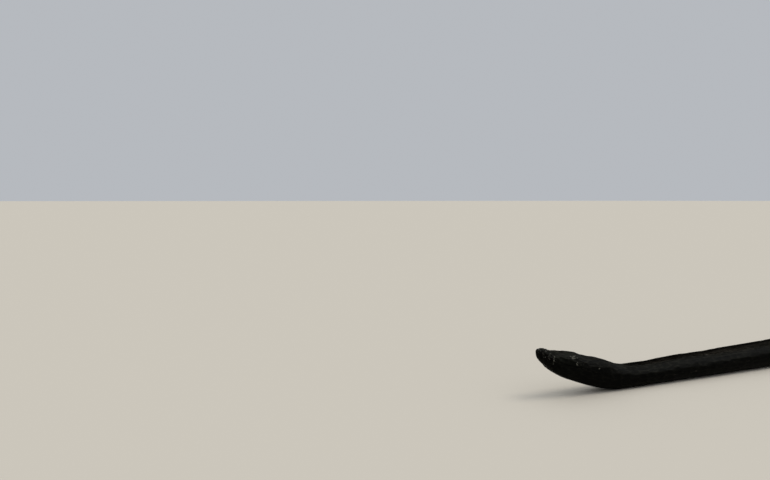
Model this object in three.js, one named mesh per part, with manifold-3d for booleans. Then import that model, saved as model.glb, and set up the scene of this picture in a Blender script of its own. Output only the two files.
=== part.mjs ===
// Outrigger canoe: a narrow dugout hull with a solid upturned snout at each end, two booms laid across
// its gunwales, and a log float pegged and lashed under the booms on the port side.
// Millimetres. +X points to the bow, +Y to port, where the float is, and +Z up.
// The origin is on the hull's centre line at mid-length, on the flat of the keel.
import * as THREE from "three";
import { mergeVertices } from "three/addons/utils/BufferGeometryUtils.js";
import Module from "manifold-3d";

const wasm = await Module();
wasm.setup();

// Driving dimensions

const GAP = 0.3; // clearance between pieces that rest on each other

const LENGTH = 8000; // hull, tip to tip
const STERN_RISE = 0.86; // the stern's snout rises this share of the bow's
const KEEL_FLAT = 24; // half width of the flat worn on the hull's underside
const WALL = 34; // thickness of the hull's side at its widest
const FLOOR = 46; // thickness of the hull's bottom
const LIP_WIDTH = 24; // thickness of the gunwale
const WIDEST_AT = 0.47; // share of a section's height at which it is widest
const FULLNESS = 2.3; // superellipse exponent of the bilge, 2 being a true ellipse
const GROOVE_FROM = 450; // the snout's crowned top starts to dip towards the hollow this far from a tip
const HOLLOW_FROM = 1010; // the hollow starts this far from a tip
const HOLLOW_FULL = 1340; // and has its full depth from here on

const BOOM_X = { fore: 270, aft: -1130 };
const BOOM = { starboardEnd: -300, portEnd: 1725, buttRadius: 29, tipRadius: 21, notch: 5 };
const KEY = { radius: 14, reach: 232, below: 94 }; // bar through both sides, this far below the boom
const WRAP = { from: 174, turns: 3, pitch: 9, thickness: 8 }; // boom to key lashing

const FLOAT_Y = 1500;
const FLOAT_TIP_X = 1700;
const FLOAT_SIDES = 14;
const PEG = { lean: 32, buttRadius: 11.5, topRadius: 10.5, above: 78, into: 72, pairAt: 30, halfStep: 12 };
const TIE = { radius: 5.5, bite: 1 }; // cord drawn over the boom and under the pegs' crossing

const SEAT_X = [-430, -2000];
const SEAT = { width: 190, thickness: 22, overhang: 16, letIn: 4 };
const SEAT_TIE = { width: 18, thickness: 7, below: 46, inset: 15 };
const SPREADER_X = [1700, -2450];
const SPREADER = { radius: 12, below: 70, bite: 5 }; // its ends sit in notches this deep

const DECK = { poles: 6, firstY: 330, step: 112, radius: 14, tipRadius: 12, overhang: 185 };

// Bow half of the hull. Columns: aft, the distance from the bow's tip; keel and sheer, the heights of the
// underside and of the top; half, the half breadth; lip, the half width of the top.
const BOW_ROWS = [
  [0, 428, 468, 27, 13],
  [16, 386, 477, 42, 22],
  [62, 338, 477, 58, 30],
  [150, 264, 463, 75, 38],
  [270, 194, 438, 89, 44],
  [380, 147, 420, 98, 47],
  [560, 84, 361, 109, 50],
  [760, 26, 303, 118, 54],
  [880, 6, 268, 122, 58],
  [980, 0, 244, 125, 62],
  [1090, 0, 233, 128, 66],
  [1340, 0, 231, 134, 72],
  [1800, 0, 234, 143, 82],
  [2500, 0, 244, 156, 102],
  [3200, 0, 252, 163, 114],
  [4000, 0, 256, 167, 120],
];
const MORE_STATIONS = [1170, 1250, 2850]; // places aft of the tip that get a section besides the rows'

// Float, from its fore tip. Columns: aft, keel, top, half breadth.
const FLOAT_ROWS = [
  [0, 96, 128, 16],
  [70, 62, 131, 31],
  [200, 30, 130, 44],
  [400, 8, 125, 54],
  [640, 0, 122, 59],
  [1370, 0, 123, 61],
  [2100, 0, 124, 62],
  [2830, 0, 122, 60],
  [3560, 0, 120, 58],
  [3860, 10, 118, 50],
  [4080, 34, 116, 36],
  [4200, 60, 112, 18],
];

// Finishes: colour, roughness
const FINISHES = {
  hull: [0x17150f, 0.62],
  float: [0x4a4238, 0.8],
  pole: [0x6b5c47, 0.82],
  peg: [0x7c6a50, 0.85],
  plank: [0x5d5040, 0.8],
  cord: [0x8a7350, 0.92],
};

// Shape helpers

const vec = (x, y, z) => new THREE.Vector3(x, y, z);
const moved = (geometry, { x, y, z }) => geometry.clone().translate(x, y, z);
const smooth = (t) => t * t * (3 - 2 * t);
const share = (v, from, to) => THREE.MathUtils.clamp((v - from) / (to - from), 0, 1);

// A smooth curve through a table's column, with no overshoot between its rows.
function column(rows, index) {
  const xs = rows.map((row) => row[0]);
  const ys = rows.map((row) => row[index]);
  const slopes = xs.slice(1).map((x, i) => (ys[i + 1] - ys[i]) / (x - xs[i]));
  const tangents = xs.map((_, i) => {
    const before = slopes[Math.max(0, i - 1)];
    const after = slopes[Math.min(i, slopes.length - 1)];
    return before * after <= 0 ? 0 : (2 * before * after) / (before + after);
  });
  return (x) => {
    const i = Math.max(0, xs.findIndex((end) => end >= x) - 1);
    const step = xs[i + 1] - xs[i];
    const t = (x - xs[i]) / step;
    return (
      (1 + 2 * t) * (1 - t) * (1 - t) * ys[i] +
      t * (1 - t) * (1 - t) * step * tangents[i] +
      t * t * (3 - 2 * t) * ys[i + 1] +
      t * t * (t - 1) * step * tangents[i + 1]
    );
  };
}

// A closed body through rings that hold equal numbers of points. A looped body has no ends.
function loft(rings, looped = false) {
  const count = rings[0].length;
  const points = rings.flat();
  const index = [];
  for (let i = 0; i < (looped ? rings.length : rings.length - 1); i++) {
    const near = i * count;
    const far = ((i + 1) % rings.length) * count;
    for (let k = 0; k < count; k++) {
      const next = (k + 1) % count;
      index.push(near + k, near + next, far + next, near + k, far + next, far + k);
    }
  }
  if (!looped) {
    capEnd(points, index, 0, count, true);
    capEnd(points, index, (rings.length - 1) * count, count, false);
  }
  const geometry = new THREE.BufferGeometry().setFromPoints(points);
  return geometry.setIndex(volumeOf(points, index) < 0 ? index.reverse() : index);
}

// A fan of triangles from the middle of one end ring.
function capEnd(points, index, first, count, turned) {
  const rim = points.slice(first, first + count);
  const middle = points.push(rim.reduce((sum, p) => sum.add(p), vec(0, 0, 0)).divideScalar(count)) - 1;
  for (let k = 0; k < count; k++) {
    const edge = [first + k, first + ((k + 1) % count)];
    index.push(middle, ...(turned ? edge.reverse() : edge));
  }
}

function volumeOf(points, index) {
  let sum = 0;
  for (let i = 0; i < index.length; i += 3) {
    const [a, b, c] = [points[index[i]], points[index[i + 1]], points[index[i + 2]]];
    sum += a.dot(b.clone().cross(c));
  }
  return sum / 6;
}

// A ring of points round a centre, with one corner along `up`.
function ring(centre, up, along, radius, sides) {
  const u = up.clone().addScaledVector(along, -up.dot(along)).setLength(radius);
  const v = along.clone().cross(u);
  return Array.from({ length: sides }, (_, k) => {
    const angle = (2 * Math.PI * k) / sides;
    return centre.clone().addScaledVector(u, Math.cos(angle)).addScaledVector(v, Math.sin(angle));
  });
}

// A straight pole that tapers from one end to the other.
function pole(from, to, fromRadius, toRadius, sides, spans = 1) {
  const along = to.clone().sub(from).normalize();
  const up = Math.abs(along.z) > 0.7 ? vec(0, 1, 0) : vec(0, 0, 1);
  const rings = Array.from({ length: spans + 1 }, (_, i) => {
    const radius = THREE.MathUtils.lerp(fromRadius, toRadius, i / spans);
    return ring(from.clone().lerp(to, i / spans), up, along, radius, sides);
  });
  return loft(rings);
}

// A cord of round section along a closed curve.
function cordLoop(points, radius, steps, sides) {
  const curve = new THREE.CatmullRomCurve3(points, true, "centripetal");
  const frames = curve.computeFrenetFrames(steps, true);
  const rings = Array.from({ length: steps }, (_, i) =>
    ring(curve.getPointAt(i / steps), frames.normals[i], frames.tangents[i], radius, sides),
  );
  return loft(rings, true);
}

function box(sizes, centre) {
  return new THREE.BoxGeometry(...sizes).translate(...centre);
}

function solidOf(geometry) {
  const bare = new THREE.BufferGeometry().setAttribute("position", geometry.getAttribute("position"));
  const merged = mergeVertices(bare.setIndex(geometry.getIndex()), 1e-3);
  return new wasm.Manifold(
    new wasm.Mesh({
      numProp: 3,
      vertProperties: merged.getAttribute("position").array,
      triVerts: new Uint32Array(merged.getIndex().array),
    }),
  );
}

// The geometries of `parts` joined into one, with those of `tools` cut away.
function carve(parts, tools) {
  const whole = parts.map(solidOf).reduce((sum, part) => sum.add(part));
  const mesh = tools.map(solidOf).reduce((left, tool) => left.subtract(tool), whole).getMesh();
  return new THREE.BufferGeometry()
    .setAttribute("position", new THREE.BufferAttribute(mesh.vertProperties, 3))
    .setIndex(new THREE.BufferAttribute(mesh.triVerts, 1));
}

// Hull

const [keelAt, sheerAt, halfAt, lipAt] = [1, 2, 3, 4].map((index) => column(BOW_ROWS, index));
const MID_SHEER = sheerAt(LENGTH / 2);

// The hull's measures at a place along its length. The stern half is the bow's, turned round and lower.
function station(x) {
  const fromTip = LENGTH / 2 - Math.abs(x);
  const rise = x < 0 ? STERN_RISE : 1;
  const sheer = MID_SHEER + (sheerAt(fromTip) - MID_SHEER) * rise;
  const keel = keelAt(fromTip) * rise;
  const lip = lipAt(fromTip);
  return {
    keel,
    sheer,
    lip,
    half: halfAt(fromTip),
    slot: lip - Math.min(LIP_WIDTH, 0.3 * lip),
    widest: keel + (sheer - keel) * WIDEST_AT,
    dip: smooth(share(fromTip, GROOVE_FROM, HOLLOW_FROM)),
    depth: smooth(share(fromTip, HOLLOW_FROM, HOLLOW_FULL)),
  };
}

// Quarter of a superellipse below the widest point, from the bottom up: [y, z] pairs.
function bilge(half, flat, bottom, widest, steps) {
  return steps.map((t) => {
    const angle = (t * Math.PI) / 2;
    const out = Math.sin(angle) ** (2 / FULLNESS);
    const down = Math.cos(angle) ** (2 / FULLNESS);
    return [flat + (half - flat) * out, widest - (widest - bottom) * down];
  });
}

// Arc above the widest point, up to a given half width at the top: [y, z] pairs.
function topside(half, lip, widest, top, steps) {
  const last = Math.acos(lip / half);
  return steps.map((t) => [
    half * Math.cos(t * last),
    widest + ((top - widest) * Math.sin(t * last)) / Math.sin(last),
  ]);
}

// Half width of that arc at a height.
function topsideHalf(half, lip, widest, top, z) {
  const last = Math.acos(lip / half);
  return half * Math.cos(Math.asin((Math.sin(last) * (z - widest)) / (top - widest)));
}

// One closed section: up the port side, over the gunwale, through the hollow, and down to starboard.
function hullRing(x) {
  const s = station(x);
  const flat = KEEL_FLAT * Math.min(1, s.half / 100);
  const outside = [
    ...bilge(s.half, flat, s.keel, s.widest, [0, 0.3, 0.55, 0.78, 1]),
    ...topside(s.half, s.lip, s.widest, s.sheer, [0.36, 0.7, 1]),
  ];
  const room = Math.max(s.half - WALL, s.slot + 1);
  const hollow = [
    ...topside(room, s.slot, s.widest, s.sheer, [1, 0.66, 0.33, 0]),
    ...bilge(room, 0, s.keel + FLOOR, s.widest, [0.7, 0.45, 0.22]),
    [0, s.keel + FLOOR],
  ];
  // Where the log is solid the hollow's points lie on its top instead, crowned at the tip and dished aft.
  const arch = 0.3 * s.slot * (1 - 2 * s.dip);
  const inside = hollow.map(([y, z], k) => {
    const across = 1 - k / (hollow.length - 1);
    const deck = s.sheer + arch * (1 - across ** 2);
    return [THREE.MathUtils.lerp(s.slot * across, y, s.depth), THREE.MathUtils.lerp(deck, z, s.depth)];
  });
  const side = [...outside, ...inside.slice(0, -1)];
  const mirrored = side.map(([y, z]) => [-y, z]).reverse();
  return [[0, s.keel], ...side, inside.at(-1), ...mirrored].map(([y, z]) => vec(x, y, z));
}

function hullXs() {
  const bow = [...BOW_ROWS.map(([aft]) => aft), ...MORE_STATIONS].map((aft) => LENGTH / 2 - aft);
  return [...new Set([...bow, ...bow.map((x) => -x)])].sort((a, b) => b - a);
}

// The pieces at one boom, about the point on the boom's axis above the hull's centre line

const boomRadius = (y) =>
  THREE.MathUtils.mapLinear(y, BOOM.starboardEnd, BOOM.portEnd, BOOM.buttRadius, BOOM.tipRadius);

// The point, with the boom let into the gunwales by its notch.
const boomAt = (x) => vec(x, 0, station(x).sheer - BOOM.notch + boomRadius(0) + GAP);

function boom(grow = 0) {
  const [from, to] = [vec(0, BOOM.starboardEnd, 0), vec(0, BOOM.portEnd, 0)];
  return pole(from, to, BOOM.buttRadius + grow, BOOM.tipRadius + grow, 12, 6);
}

function keyBar(grow = 0) {
  const [from, to] = [-1, 1].map((side) => vec(0, side * (KEY.reach + grow), -KEY.below));
  return pole(from, to, KEY.radius + grow, KEY.radius + grow, 10);
}

// Lashing of boom to key bar beside one gunwale: a band whose outside shows each turn of the cord.
function wrap(side) {
  const radius = boomRadius(side * (WRAP.from + (WRAP.turns * WRAP.pitch) / 2));
  const turn = Math.asin((radius - KEY.radius) / KEY.below); // the straight runs lean in by this angle
  const arc = (z, inner, from, to, count) =>
    Array.from({ length: count + 1 }, (_, i) => {
      const angle = THREE.MathUtils.lerp(from, to, i / count);
      const reach = (inner + GAP + 0.5) / Math.cos((to - from) / count / 2);
      return { z, reach, across: Math.cos(angle), up: Math.sin(angle) };
    });
  const path = [
    ...arc(0, radius, -turn, Math.PI + turn, 8),
    ...arc(-KEY.below, KEY.radius, Math.PI + turn, 2 * Math.PI - turn, 6),
  ];
  const width = WRAP.turns * WRAP.pitch;
  const profile = [[0, 0]];
  for (let from = 0; from < width; from += WRAP.pitch) {
    profile.push([from + 1, 0.6 * WRAP.thickness], [from + WRAP.pitch / 2, WRAP.thickness]);
  }
  profile.push([width - 1, 0.6 * WRAP.thickness], [width, 0]);
  return loft(
    path.map(({ z, reach, across, up }) =>
      profile.map(([along, out]) =>
        vec(across * (reach + out), side * (WRAP.from + along), z + up * (reach + out)),
      ),
    ),
    true,
  );
}

const PEG_LEAN = THREE.MathUtils.degToRad(PEG.lean);
const CROSSING = -(boomRadius(FLOAT_Y) + PEG.buttRadius + GAP) / Math.sin(PEG_LEAN);

// The four pegs: two crossed pairs that carry the boom, their butts driven down to `buttZ`.
function pegs(buttZ, grow = 0) {
  return [-1, 1].flatMap((pair) =>
    [-1, 1].map((way) => {
      const y = FLOAT_Y + pair * PEG.pairAt + way * PEG.halfStep;
      const at = (z) => vec(way * (z - CROSSING) * Math.tan(PEG_LEAN), y, z);
      return pole(at(buttZ), at(PEG.above), PEG.buttRadius + grow, PEG.topRadius + grow, 8);
    }),
  );
}

// Cord over the boom and under the crossing of one pair, down one side and up the other.
function tie(pair, way) {
  const y = FLOAT_Y + pair * PEG.pairAt;
  const wide = PEG.halfStep + PEG.buttRadius + TIE.radius - TIE.bite;
  const round = boomRadius(y) + TIE.radius - TIE.bite;
  const low = CROSSING - (PEG.buttRadius + TIE.radius - TIE.bite) / Math.sin(PEG_LEAN);
  const rise = [
    [0.5 * round, wide, low / 2 - 4],
    [1.06 * round, wide, 0],
    [0.8 * round, 0.72 * wide, 0.8 * round],
  ];
  return cordLoop(
    [
      vec(0, y, low),
      vec(0, y - 0.9 * wide, low),
      ...rise.map(([out, along, z]) => vec(way * out, y - along, z)),
      vec(0, y, 1.05 * round),
      ...rise.reverse().map(([out, along, z]) => vec(-way * out, y + along, z)),
      vec(0, y + 0.9 * wide, low),
    ],
    TIE.radius,
    24,
    6,
  );
}

function floatLashing(buttZ) {
  return carve([tie(-1, 1), tie(1, -1)], [boom(GAP), ...pegs(buttZ, GAP)]);
}

// Float

const [floatKeelAt, floatTopAt, floatHalfAt] = [1, 2, 3].map((index) => column(FLOAT_ROWS, index));

// A flat of the log, not a corner, is at the bottom and the top.
function floatRing(aft) {
  const middle = (floatKeelAt(aft) + floatTopAt(aft)) / 2;
  const high = (floatTopAt(aft) - floatKeelAt(aft)) / 2 / Math.cos(Math.PI / FLOAT_SIDES);
  return Array.from({ length: FLOAT_SIDES }, (_, k) => {
    const angle = (2 * Math.PI * (k + 0.5)) / FLOAT_SIDES;
    const y = FLOAT_Y + floatHalfAt(aft) * Math.sin(angle);
    return vec(FLOAT_TIP_X - aft, y, middle - high * Math.cos(angle));
  });
}

// Depth of the peg holes, from the boom's axis.
const buttZAt = (x) => floatTopAt(FLOAT_TIP_X - x) - PEG.into - boomAt(x).z;

function float() {
  const log = loft(FLOAT_ROWS.map(([aft]) => floatRing(aft)));
  const holes = (x) => pegs(buttZAt(x), GAP).map((hole) => moved(hole, boomAt(x)));
  return carve([log], Object.values(BOOM_X).flatMap(holes));
}

// Seats, about the point on the hull's centre line at the height of the bed cut for them

const seatAt = (x) => vec(x, 0, station(x).sheer - SEAT.letIn);
const seatHalf = (x) => station(x).lip + SEAT.overhang;
const seatHoleY = (x) => station(x).slot - SEAT_TIE.inset;
const SEAT_TOP = GAP + SEAT.thickness;
const TIE_LOW = SEAT.letIn - SEAT_TIE.below;

function seat(x) {
  const plank = box([SEAT.width, 2 * seatHalf(x), SEAT.thickness], [0, 0, GAP + SEAT.thickness / 2]);
  const hole = [SEAT_TIE.width + 2 * GAP, SEAT_TIE.thickness + 2 * GAP, 4 * SEAT.thickness];
  return carve([plank], [-1, 1].map((side) => box(hole, [0, side * seatHoleY(x), 0])));
}

// The bed for the plank, and the way of its ties through the hull's sides.
function seatCuts(x) {
  const bed = box([SEAT.width + 2 * GAP, 3 * station(x).half, 100], [0, 0, 50]);
  const way = [SEAT_TIE.width + 2 * GAP, 4 * station(x).half, SEAT_TIE.thickness + 2 * GAP];
  return [bed, box(way, [0, 0, TIE_LOW])];
}

// Cord band round one gunwale: up through the plank, over its end, and in through the hull's side.
function seatTie(x, side) {
  const { half, lip, widest, sheer } = station(x);
  const thick = SEAT_TIE.thickness;
  const rim = thick / 2;
  const inner = seatHoleY(x);
  const outer = seatHalf(x) + GAP;
  const bulge = topsideHalf(half, lip, widest, sheer, sheer - SEAT_TIE.below) + 3;
  const at = (y, z) => new THREE.Vector2(y, z);
  const band = new THREE.Shape([
    at(inner - rim, TIE_LOW - rim),
    at(bulge + thick, TIE_LOW - rim),
    at(outer + thick, GAP),
    at(outer + thick, SEAT_TOP + rim),
    at(outer, SEAT_TOP + GAP + thick),
    at(inner - rim, SEAT_TOP + GAP + thick),
  ]);
  band.holes.push(
    new THREE.Path([
      at(inner + rim, TIE_LOW + rim),
      at(inner + rim, SEAT_TOP + GAP),
      at(outer, SEAT_TOP + GAP),
      at(outer, GAP),
      at(bulge, TIE_LOW + rim),
    ]),
  );
  const flat = new THREE.ExtrudeGeometry(band, { depth: SEAT_TIE.width, bevelEnabled: false });
  // The shape's x and y become the hull's y and z, and its depth runs along the hull.
  const basis = new THREE.Matrix4().makeBasis(vec(0, 1, 0), vec(0, 0, 1), vec(1, 0, 0));
  flat.applyMatrix4(basis.setPosition(-SEAT_TIE.width / 2, 0, 0));
  return side < 0 ? flat.rotateZ(Math.PI) : flat;
}

// Spreader: a stick sprung between the hull's sides, under the gunwales

function spreader(x, grow = 0) {
  const { half, slot, widest, sheer } = station(x);
  const z = sheer - SPREADER.below;
  const reach = topsideHalf(half - WALL, slot, widest, sheer, z) + SPREADER.bite + grow;
  const [from, to] = [-1, 1].map((side) => vec(x, side * reach, z));
  return pole(from, to, SPREADER.radius + grow, SPREADER.radius + grow, 8);
}

// Deck poles, laid fore and aft on the booms

function deckPole(y) {
  const span = BOOM_X.fore - BOOM_X.aft;
  const radiusAt = (along) =>
    THREE.MathUtils.mapLinear(along, -DECK.overhang, span + DECK.overhang, DECK.radius, DECK.tipRadius);
  const on = (x, along) => boomAt(x).setY(y).add(vec(0, 0, boomRadius(y) + radiusAt(along) + GAP));
  const [aft, fore] = [on(BOOM_X.aft, 0), on(BOOM_X.fore, span)];
  const reach = fore.clone().sub(aft).setLength(DECK.overhang);
  return pole(aft.sub(reach), fore.add(reach), DECK.radius, DECK.tipRadius, 8);
}

function hull() {
  const cuts = SPREADER_X.map((x) => spreader(x, GAP));
  for (const x of Object.values(BOOM_X)) {
    cuts.push(moved(boom(GAP), boomAt(x)), moved(keyBar(GAP), boomAt(x)));
  }
  for (const x of SEAT_X) cuts.push(...seatCuts(x).map((cut) => moved(cut, seatAt(x))));
  return carve([loft(hullXs().map(hullRing))], cuts);
}

// Assembly

function piece(name, geometry, finish) {
  const [color, roughness] = FINISHES[finish];
  const mesh = new THREE.Mesh(geometry, new THREE.MeshStandardMaterial({ color, roughness, metalness: 0 }));
  mesh.name = name;
  return mesh;
}

function groupAt(point, pieces) {
  const group = new THREE.Group().add(...pieces);
  group.position.copy(point);
  return group;
}

function boomGroup(place, x) {
  const buttZ = buttZAt(x);
  return groupAt(boomAt(x), [
    piece(`boom_${place}`, boom(), "pole"),
    piece(`key_bar_${place}`, keyBar(), "pole"),
    piece(`lashing_${place}_port`, wrap(1), "cord"),
    piece(`lashing_${place}_starboard`, wrap(-1), "cord"),
    piece(`lashing_${place}_float`, floatLashing(buttZ), "cord"),
    ...pegs(buttZ).map((peg, i) => piece(`peg_${place}_${i + 1}`, peg, "peg")),
  ]);
}

function seatGroup(number, x) {
  return groupAt(seatAt(x), [
    piece(`seat_${number}`, seat(x), "plank"),
    piece(`seat_tie_${number}_port`, seatTie(x, 1), "cord"),
    piece(`seat_tie_${number}_starboard`, seatTie(x, -1), "cord"),
  ]);
}

const canoe = new THREE.Group();
canoe.add(piece("hull", hull(), "hull"), piece("float", float(), "float"));
for (const [place, x] of Object.entries(BOOM_X)) canoe.add(boomGroup(place, x));
SEAT_X.forEach((x, i) => canoe.add(seatGroup(i + 1, x)));
SPREADER_X.forEach((x, i) => canoe.add(piece(`spreader_${i + 1}`, spreader(x), "peg")));
for (let i = 0; i < DECK.poles; i++) {
  canoe.add(piece(`deck_pole_${i + 1}`, deckPole(DECK.firstY + i * DECK.step), "pole"));
}

export default canoe;
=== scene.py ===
# The looks of the outrigger canoe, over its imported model. Metres: +X to the bow, +Y to port, +Z up.
import math
from itertools import product

import bpy
import numpy as np
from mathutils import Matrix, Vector


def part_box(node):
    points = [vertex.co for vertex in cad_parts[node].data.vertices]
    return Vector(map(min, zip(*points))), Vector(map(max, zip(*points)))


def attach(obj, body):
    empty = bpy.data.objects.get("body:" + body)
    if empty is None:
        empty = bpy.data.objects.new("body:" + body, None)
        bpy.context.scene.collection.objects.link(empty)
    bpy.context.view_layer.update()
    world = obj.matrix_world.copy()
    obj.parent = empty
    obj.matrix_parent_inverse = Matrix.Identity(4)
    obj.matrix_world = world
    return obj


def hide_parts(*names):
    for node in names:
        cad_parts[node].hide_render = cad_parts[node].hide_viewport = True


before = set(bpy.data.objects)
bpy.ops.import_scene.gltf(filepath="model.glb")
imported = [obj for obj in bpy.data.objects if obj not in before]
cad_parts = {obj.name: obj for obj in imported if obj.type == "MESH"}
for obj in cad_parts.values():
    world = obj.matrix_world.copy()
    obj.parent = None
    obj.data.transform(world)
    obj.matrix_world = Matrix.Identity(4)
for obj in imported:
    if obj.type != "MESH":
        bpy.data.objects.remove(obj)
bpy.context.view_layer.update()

MM = 0.001
SHARP = math.radians(42)  # an edge that turns further than this is shaded as a corner


def linked(name, data):
    """A new object in the scene."""
    thing = bpy.data.objects.new(name, data)
    bpy.context.scene.collection.objects.link(thing)
    return thing


# Camera, at a standing person's eye height, turned and tilted as in the photograph

EYE = (7.644, 4.764, 1.85)
TILT, HEADING = 3.576, 156.12  # degrees: down from level, and round from looking along +Y
LENS, SENSOR = 29.92, 36  # millimetres
SIGHT = 4000  # past the floor's far edge


def make_camera():
    data = bpy.data.cameras.new("camera")
    data.sensor_width = SENSOR
    data.lens = LENS
    data.clip_end = SIGHT
    camera = linked("camera", data)
    camera.location = EYE
    camera.rotation_euler = (math.radians(90 - TILT), 0, math.radians(HEADING))
    bpy.context.scene.camera = camera


make_camera()


# Numbers that look random and are the same on each run

FIRST_STEP, STIR = 374761393, 1274126177
CELL_STEPS = (668265263, 2246822519, 3266489917)
WORD, FINENESS = 0xFFFFFFFF, 0xFFFFF


def scatter(seed, *cells):
    """A number from 0 to 1 for each lattice cell, given as arrays of whole numbers."""
    mixed = np.full(np.shape(cells[0]), FIRST_STEP * (seed + 1), np.int64)
    for cell, step in zip(cells, CELL_STEPS):
        mixed = (mixed + cell.astype(np.int64) * step) & WORD
        mixed = ((mixed ^ (mixed >> 15)) * STIR) & WORD
    return ((mixed ^ (mixed >> 13)) & FINENESS) / FINENESS


def noise(points, seed):
    """Smooth noise from -1 to 1 at an array of points, with one lattice cell to a unit."""
    cell = np.floor(points)
    part = points - cell
    part = part * part * (3 - 2 * part)
    total = np.zeros(points.shape[:-1])
    for corner in product((0, 1), repeat=3):
        weight = np.prod(np.where(corner, part, 1 - part), axis=-1)
        total += weight * scatter(seed, *np.moveaxis(cell + corner, -1, 0))
    return 2 * total - 1


def noise_along(values, seed):
    return noise(np.stack([values, 0 * values + 0.37, 0 * values + 0.71], axis=-1), seed)


def lumps(points, *layers):
    """Unevenness in metres. Each layer has its millimetres, its cells to a metre and its seed."""
    return sum(MM * size * noise(points * cells, seed) for size, cells, seed in layers)


def dishes(along, across, size, seed):
    """Tool marks of about a size: their height, from 0 in each dish to 1, and 1 on the ridges between."""
    along, across = along / size[0], across / size[1]
    cell_u, cell_v = np.floor(along), np.floor(across)
    first = second = np.full(along.shape, 9.0)
    for du, dv in product((-1, 0, 1), repeat=2):
        u, v = cell_u + du, cell_v + dv
        middle_u = u + 0.15 + 0.7 * scatter(seed, u, v)
        middle_v = v + 0.15 + 0.7 * scatter(seed + 1, u, v)
        gap = (along - middle_u) ** 2 + (across - middle_v) ** 2
        second = np.minimum(second, np.maximum(first, gap))
        first = np.minimum(first, gap)
    return np.minimum(first / 0.55, 1), ramp(second - first, 0.32, 0.04)


def ramp(values, start, end):
    """0 before `start` and 1 after `end`, smooth between."""
    t = np.clip((np.asarray(values, float) - start) / (end - start), 0, 1)
    return t * t * (3 - 2 * t)


# Lines and directions

def unit(vectors):
    """The same directions, each of length 1."""
    return vectors / np.maximum(np.linalg.norm(vectors, axis=-1, keepdims=True), 1e-12)


def axes_of(start, end):
    """Directions along a line and across it, both ways."""
    along = unit(end - start)
    across = unit(np.cross(along, (0, 0, 1) if abs(along[2]) < 0.8 else (0, 1, 0)))
    return along, across, np.cross(along, across)


def circle(count):
    return np.linspace(0, 2 * math.pi, count, endpoint=False)


def spokes(angles, across, other):
    return np.cos(angles)[..., None] * across + np.sin(angles)[..., None] * other


def travelled(line):
    """How far along a line each of its points is."""
    return np.concatenate([[0], np.cumsum(np.linalg.norm(np.diff(line, axis=0), axis=1))])


def resampled(line, count):
    """The same line with its points a like distance apart."""
    along = travelled(line)
    wanted = np.linspace(0, along[-1], count)
    return np.stack([np.interp(wanted, along, values) for values in line.T], axis=1)


def rounded(line):
    """A closed line with its corners eased a little."""
    return (line + (np.roll(line, 1, axis=0) + np.roll(line, -1, axis=0)) / 2) / 2


def outward(rings):
    """Directions out of a body at its rings' points."""
    across = np.roll(rings, -1, axis=1) - np.roll(rings, 1, axis=1)
    normals = unit(np.cross(across, np.gradient(rings, axis=0)))
    away = rings - rings.mean(axis=1, keepdims=True)
    return normals if (normals * away).sum() > 0 else -normals


def moved_out(rings, depth):
    """A body's surface moved out by `depth`, all but the flat that it stands on."""
    moved = rings + outward(rings) * (depth * ramp(rings[..., 2], 2 * MM, 20 * MM))[..., None]
    moved[..., 2] = np.maximum(moved[..., 2], 0)
    return moved


# Meshes

def make_object(name, points, faces, painted=None):
    mesh = bpy.data.meshes.new(name)
    mesh.from_pydata(np.asarray(points).tolist(), [], faces)
    for key, values in (painted or {}).items():
        paint(mesh, key, values)
    mesh.set_sharp_from_angle(angle=SHARP)
    return linked(name, mesh)


def paint(mesh, key, values):
    """Keeps one number or one vector for each vertex under a name that a material can read."""
    values = np.asarray(values, np.float32)
    form = "FLOAT" if values.ndim == 1 else "FLOAT_VECTOR"
    layer = mesh.attributes.get(key) or mesh.attributes.new(key, form, "POINT")
    layer.data.foreach_set("value" if values.ndim == 1 else "vector", values.ravel())


def painted(mesh, key):
    values = np.empty(len(mesh.vertices), np.float32)
    mesh.attributes[key].data.foreach_get("value", values)
    return values


def points_of(mesh):
    values = np.empty(len(mesh.vertices) * 3, np.float32)
    mesh.vertices.foreach_get("co", values)
    return values.reshape(-1, 3).astype(float)


def lofted(rings, offset=0):
    """Points and faces of a closed body through rings (rows, columns, 3), each end closed to its middle."""
    rows, columns = rings.shape[:2]
    index = np.arange(rows * columns).reshape(rows, columns)
    turned = np.roll(index, -1, axis=1)
    quads = np.stack([index[:-1], turned[:-1], turned[1:], index[1:]], axis=-1).reshape(-1, 4)
    first, last = (np.full(columns, rows * columns + k) for k in (0, 1))
    near = np.stack([first, turned[0], index[0]], axis=-1)
    far = np.stack([last, index[-1], turned[-1]], axis=-1)
    points = with_ends(rings)
    triangles = np.concatenate([quads[:, :3], quads[:, (0, 2, 3)], near, far])
    a, b, c = (points[triangles[:, k]] for k in range(3))
    turn = -1 if np.einsum("ij,ij", a, np.cross(b, c)) < 0 else 1
    return points, [face for group in (quads, near, far) for face in (group[:, ::turn] + offset).tolist()]


def with_ends(values):
    """What the rings' points have, as a list, and then what the middles of the two ends have."""
    flat = values.reshape(-1, *values.shape[2:])
    return np.concatenate([flat, [values[0].mean(axis=0), values[-1].mean(axis=0)]])


def cutter(rings):
    points, faces = lofted(np.asarray(rings, float))
    # cut is 1 on a cutter's own points, where materials paint shade deep inside what is cut.
    return make_object("cutter", points, faces, {"cut": np.ones(len(points))})


def rod_cutter(start, end, radius, sides=28):
    """A closed round bar from one point to another."""
    start, end = np.array(start, float), np.array(end, float)
    _, across, other = axes_of(start, end)
    rim = spokes(circle(sides), across, other) * radius
    return cutter([start + rim, end + rim])


def box_cutter(low, high):
    corners = [(low[1], low[2]), (high[1], low[2]), (high[1], high[2]), (low[1], high[2])]
    return cutter([[(x, y, z) for y, z in corners] for x in (low[0], high[0])])


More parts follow.
